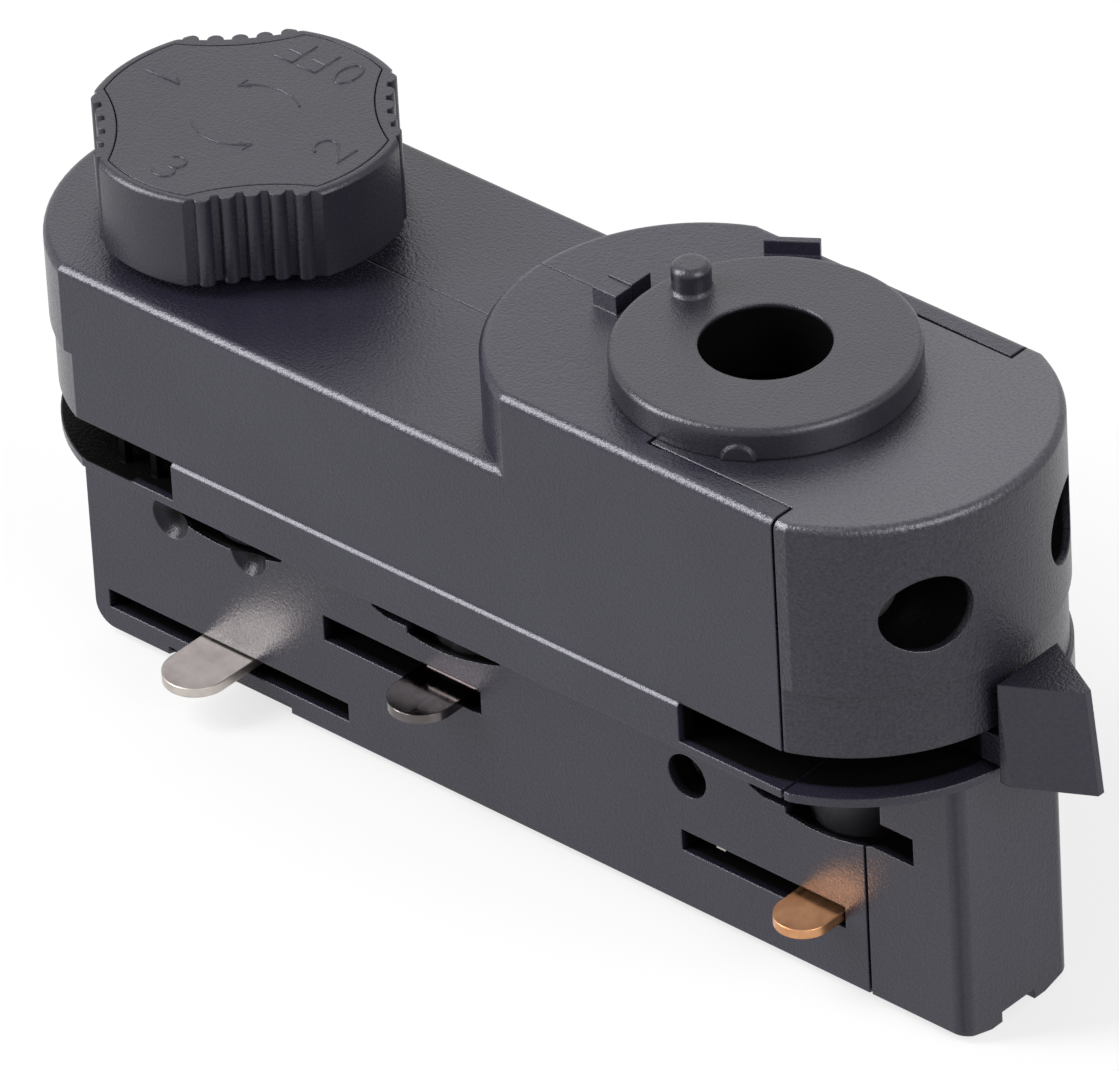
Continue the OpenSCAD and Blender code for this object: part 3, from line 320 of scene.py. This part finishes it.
# Directions in which the drawing lines of a metal are stretched
EVEN, ALONG_X, ALONG_Y = (1, 1, 1), (0.1, 1, 1), (1, 0.12, 1)
zinc = metal("screw_steel", (0.42, 0.42, 0.43), (0.60, 0.60, 0.61), 0.32, EVEN)
spring = metal("spring_steel", (0.45, 0.45, 0.46), (0.62, 0.62, 0.63), 0.30, ALONG_X)
brass = metal("brass_strip", (0.55, 0.40, 0.18), (0.72, 0.54, 0.28), 0.30, ALONG_X)
tinned = metal("plated_brass", (0.44, 0.39, 0.36), (0.60, 0.55, 0.51), 0.34, ALONG_Y)
# The neutral blade's brass, its colour darkened as painted shade for the dark surroundings that its top
# reflects
painted_dark_brass = metal("brass_painted_dark", (0.10, 0.09, 0.09), (0.17, 0.15, 0.15), 0.16, ALONG_Y)
copper = metal("copper_blade", (0.50, 0.24, 0.11), (0.72, 0.38, 0.20), 0.36, ALONG_Y)

FINISH = {
    "near_shell": side_black, "far_shell": side_black, "end_cap": cap_black, "end_foot": side_black,
    "cap_screws": zinc, "shell_screw": zinc, "terminal_block": inner_black, "terminal_screws": zinc,
    "phase_strip": brass, "neutral_strip": brass, "earth_strip": brass, "detent_spring": spring,
    "selector_knob": knob_black, "knob_face": knob_black, "knob_screw": zinc, "selector_shaft": inner_black,
    "slip_ring": brass, "phase_blade": tinned, "left_rotor": inner_black, "mid_rotor": inner_black,
    "neutral_blade": painted_dark_brass, "lever_rotor": inner_black, "lock_lever": side_black, "earth_blade": copper,
    "drive_link": spring, "lamp_disc": disc_black, "disc_clip": spring,
}
for node_name, finish in FINISH.items():
    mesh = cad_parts[node_name].data
    mesh.materials.clear()
    mesh.materials.append(finish)


# Camera, at the photograph's place

AZIMUTH, ELEVATION, ROLL = 43.609, 34.583, 3.305
CAMERA_PLACE = Vector((774.35, -841.56, 768.18)) * MM
SENSOR, LENS = 36.0, 485.7
camera_data = bpy.data.cameras.new("camera")
camera_data.sensor_width = SENSOR
camera_data.lens = LENS
camera_data.clip_end = 20.0
camera = bpy.data.objects.new("camera", camera_data)
scene.collection.objects.link(camera)
az, el = math.radians(AZIMUTH), math.radians(ELEVATION)
back = Vector((math.sin(az) * math.cos(el), -math.cos(az) * math.cos(el), math.sin(el)))
level = Vector((math.cos(az), math.sin(az), 0.0))
right = Matrix.Rotation(math.radians(-ROLL), 3, back) @ level
up = back.cross(right)
turn = Matrix((right, up, back)).transposed().to_4x4()
camera.matrix_world = Matrix.Translation(CAMERA_PLACE) @ turn
scene.camera = camera


# Floor, world and lamps

FLOOR = 6.0
FLOOR_GREY, FLOOR_GLOW = 0.55, 0.7
WORLD_LIGHT, WORLD_WHITE = 0.55, 1.0
floor_z = cad_box[0][2]
floor_mesh = bpy.data.meshes.new("floor")
floor_corners = [(-FLOOR, -FLOOR, floor_z), (FLOOR, -FLOOR, floor_z), (FLOOR, FLOOR, floor_z),
                 (-FLOOR, FLOOR, floor_z)]
floor_mesh.from_pydata(floor_corners, [], [(0, 1, 2, 3)])
floor = bpy.data.objects.new("floor", floor_mesh)
scene.collection.objects.link(floor)


def seen_directly(tree):
    """1 for rays that come from the camera, a mirror-like surface or glass, else 0."""
    path = tree.nodes.new("ShaderNodeLightPath")
    seen = calc(tree, "MAXIMUM", path.outputs["Is Camera Ray"], path.outputs["Is Glossy Ray"])
    return calc(tree, "MAXIMUM", seen, path.outputs["Is Transmission Ray"])


floor_mat = bpy.data.materials.new("floor")
floor_mat.use_nodes = True
tree = floor_mat.node_tree
tree.nodes.clear()
out = tree.nodes.new("ShaderNodeOutputMaterial")
diffuse = tree.nodes.new("ShaderNodeBsdfDiffuse")
diffuse.inputs["Color"].default_value = (FLOOR_GREY, FLOOR_GREY, FLOOR_GREY, 1)
glow = tree.nodes.new("ShaderNodeEmission")
glow.inputs["Strength"].default_value = 1.0
mix = tree.nodes.new("ShaderNodeMixShader")
tree.links.new(calc(tree, "MULTIPLY", seen_directly(tree), FLOOR_GLOW), mix.inputs["Fac"])
tree.links.new(diffuse.outputs[0], mix.inputs[1])
tree.links.new(glow.outputs[0], mix.inputs[2])
tree.links.new(mix.outputs[0], out.inputs["Surface"])
floor_mesh.materials.append(floor_mat)

world = bpy.data.worlds.new("world")
scene.world = world
world.use_nodes = True
tree = world.node_tree
tree.nodes.clear()
out = tree.nodes.new("ShaderNodeOutputWorld")
sky = tree.nodes.new("ShaderNodeBackground")
sky.inputs["Color"].default_value = (1, 1, 1, 1)
sky.inputs["Strength"].default_value = WORLD_LIGHT
white = tree.nodes.new("ShaderNodeBackground")
white.inputs["Color"].default_value = (1, 1, 1, 1)
white.inputs["Strength"].default_value = WORLD_WHITE
mix = tree.nodes.new("ShaderNodeMixShader")
tree.links.new(seen_directly(tree), mix.inputs["Fac"])
tree.links.new(sky.outputs[0], mix.inputs[1])
tree.links.new(white.outputs[0], mix.inputs[2])
tree.links.new(mix.outputs[0], out.inputs["Surface"])

CENTRE = Vector((-0.027, 0.0, -0.030))


def softbox(name, place, width, height, power):
    """Area lamp that faces the object."""
    data = bpy.data.lights.new(name, "AREA")
    data.shape = "RECTANGLE"
    data.size = width
    data.size_y = height
    data.energy = power
    lamp = bpy.data.objects.new(name, data)
    lamp.location = place
    lamp.rotation_euler = (CENTRE - Vector(place)).to_track_quat("-Z", "Y").to_euler()
    scene.collection.objects.link(lamp)


# Each lamp: place in metres, width, height, power in watts
LAMPS = {
    "edge_light": ((-0.60, -0.57, 0.54), 0.34, 1.1, 22.0),
    "top_sheen": ((-0.60, 0.62, 0.55), 0.9, 0.9, 1.6),
    "fill": ((0.55, -0.05, 0.30), 0.4, 0.4, 4.0),
}
for lamp_name, lamp_values in LAMPS.items():
    softbox(lamp_name, *lamp_values)


# Marks on the knob's face: thin raised strokes

def stroke(name, paths, radius_mm, body, finish):
    """Curve of round strokes through the given points, in millimetres in the row frame."""
    curve = bpy.data.curves.new(name, "CURVE")
    curve.dimensions = "3D"
    curve.bevel_depth = radius_mm * MM
    curve.bevel_resolution = 2
    curve.use_fill_caps = True
    for points in paths:
        spline = curve.splines.new("POLY")
        spline.points.add(len(points) - 1)
        for point, place in zip(spline.points, points):
            point.co = (*(v * MM for v in place), 1.0)
    obj = bpy.data.objects.new(name, curve)
    scene.collection.objects.link(obj)
    curve.materials.append(finish)
    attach(obj, body)


face_low, face_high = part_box("knob_face")
FACE_X = (face_low[0] + face_high[0]) / 2 / MM
FACE_Z = face_high[2] / MM
STROKE_R = 0.17
# Share of the strokes' radius by which their middle lies below the face
STROKE_SINK = 0.35
STROKE_Z = FACE_Z - STROKE_R * STROKE_SINK


def arc(cx, cy, rx, ry, a0, a1, steps=14):
    """Points of an elliptic arc in a letter's own plane."""
    return [(cx + rx * math.cos(math.radians(a0 + (a1 - a0) * i / steps)),
             cy + ry * math.sin(math.radians(a0 + (a1 - a0) * i / steps))) for i in range(steps + 1)]


# Letters in their own plane: x to the right, y up, about their centre, in millimetres
GLYPHS = {
    "O": [arc(0, 0, 1.0, 1.75, 0, 360, 28)],
    "F": [[(0, -1.75), (0, 1.75), (2.3, 1.75)], [(0, 0.1), (1.8, 0.1)]],
    "1": [[(-0.7, 1.2), (0, 2.15), (0, -2.15)]],
    "2": [arc(0, 0.75, 1.25, 1.1, 165, -38, 14) + [(-1.35, -1.85), (1.4, -1.85)]],
    "3": [arc(0, 0.85, 1.0, 0.95, 150, -90, 14), arc(0, -0.9, 1.15, 0.9, 90, -150, 14)],
}
# Each mark: outward direction in degrees from +X, distance of the letters' middle from the knob's
# axis, letters with their places
MARKS = {
    "off": (90, 11.05, [("O", -3.0), ("F", -0.28), ("F", 2.65)]),
    "1": (180, 10.65, [("1", 0.0)]),
    "3": (270, 10.8, [("3", 0.3)]),
    "2": (0, 10.55, [("2", 0.46)]),
}


def mark_paths(outward, middle, letters):
    """Strokes of a mark whose letters stand with their feet outward."""
    a = math.radians(outward)
    up_dir = (-math.cos(a), -math.sin(a))
    right_dir = (up_dir[1], -up_dir[0])
    paths = []
    for letter, shift in letters:
        for points in GLYPHS[letter]:
            path = []
            for x, v in points:
                u = x + shift
                px = FACE_X + middle * math.cos(a) + u * right_dir[0] + v * up_dir[0]
                py = middle * math.sin(a) + u * right_dir[1] + v * up_dir[1]
                path.append((px, py, STROKE_Z))
            paths.append(path)
    return paths


for text, (outward, middle, letters) in MARKS.items():
    stroke("knob_mark_" + text, mark_paths(outward, middle, letters), STROKE_R, "selector", knob_black)

ARROW_R, ARROW_HEAD = 5.15, 1.25
ARROW_STROKE_R = STROKE_R * 0.85
# From tail to tip, in degrees about the knob's axis
ARROW_ARCS = [(53, 141), (-131, -41)]
# Angles from the arrow's heading at its tip, in degrees
BARB_LEANS = (160, -144)
arrow_paths = []
for tail_angle, tip_angle in ARROW_ARCS:
    arc_points = arc(0, 0, ARROW_R, ARROW_R, tail_angle, tip_angle, 20)
    shaft = [(FACE_X + x, y, STROKE_Z) for x, y in arc_points]
    arrow_paths.append(shaft)
    tip = Vector(shaft[-1])
    for lean in BARB_LEANS:
        heading = math.radians(tip_angle + 90 + lean)
        barb = tip + ARROW_HEAD * Vector((math.cos(heading), math.sin(heading), 0))
        arrow_paths.append([tuple(tip), tuple(barb)])
stroke("knob_arrows", arrow_paths, ARROW_STROKE_R, "selector", knob_black)


# End of a contact spring that shows in the earth blade's slot, fixed under the slot's roof

SPRING_LOW = Vector((-2.7, -7.1, -54.1)) * MM
SPRING_HIGH = Vector((-1.6, -5.4, -53.4)) * MM
BOX_FACES = [(0, 1, 3, 2), (4, 6, 7, 5), (0, 4, 5, 1), (2, 3, 7, 6), (0, 2, 6, 4), (1, 5, 7, 3)]
corners = [(x, y, z) for x in (SPRING_LOW.x, SPRING_HIGH.x) for y in (SPRING_LOW.y, SPRING_HIGH.y)
           for z in (SPRING_LOW.z, SPRING_HIGH.z)]
spring_end = bpy.data.meshes.new("earth_spring_end")
spring_end.from_pydata(corners, [], BOX_FACES)
spring_end.materials.append(tinned)
spring_end_obj = bpy.data.objects.new("earth_spring_end", spring_end)
scene.collection.objects.link(spring_end_obj)
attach(spring_end_obj, "housing")
